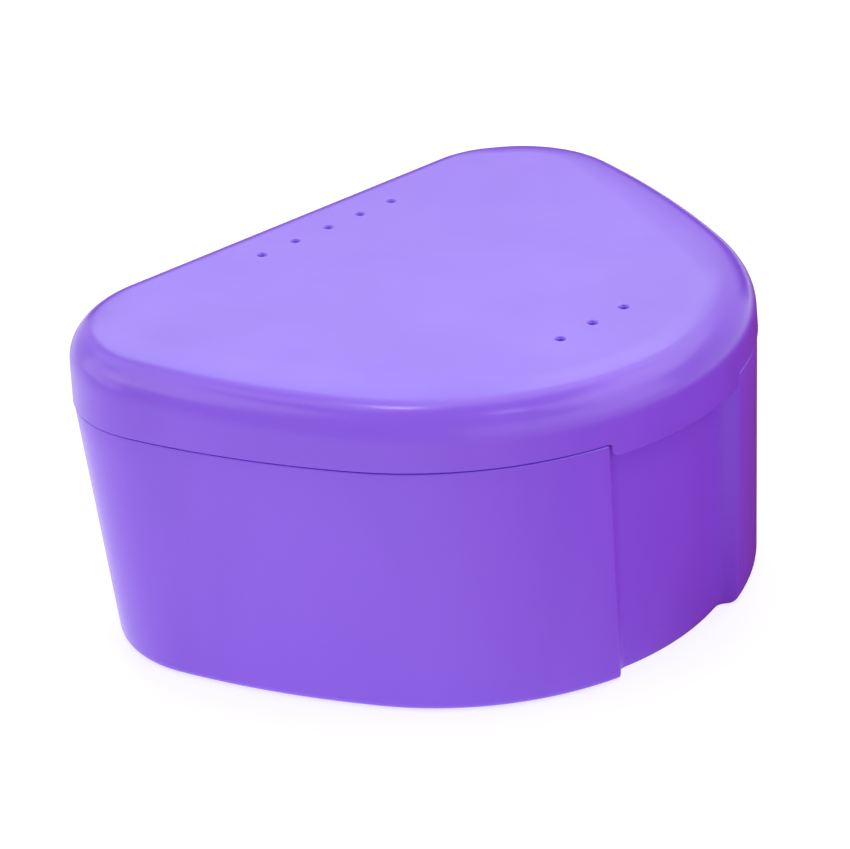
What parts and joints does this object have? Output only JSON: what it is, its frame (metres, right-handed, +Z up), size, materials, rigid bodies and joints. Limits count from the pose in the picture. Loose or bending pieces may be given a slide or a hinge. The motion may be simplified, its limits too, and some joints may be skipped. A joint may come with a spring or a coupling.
{
  "type": "denture case",
  "caption": "Hinged denture case: straight-backed tub with a bowed front and thumb recess, under a vented lid with a lift tab, joined by a wire pin.",
  "frame": {"origin": "under the middle of the closed case's box, on the surface that it stands on", "axes": "+X along the hinge, +Y towards the hinge, -Y towards the thumb recess, +Z up"},
  "size_m": [0.09, 0.0737, 0.0413],
  "materials": {
    "tub_plastic": "glossy moulded polypropylene, purple",
    "lid_plastic": "glossy moulded polypropylene, purple",
    "pin_steel": "drawn stainless wire"
  },
  "bodies": {
    "tub_body": {"tub": "tub_plastic", "hinge_pin": "pin_steel"},
    "lid_body": {"lid": "lid_plastic"}
  },
  "joints": [
    {"name": "lid_hinge", "type": "hinge", "parent": "tub_body", "child": "lid_body", "pos_m": [0, 0.03465, 0.0316], "axis": [-1, 0, 0], "range_deg": [0, 180]}
  ]
}
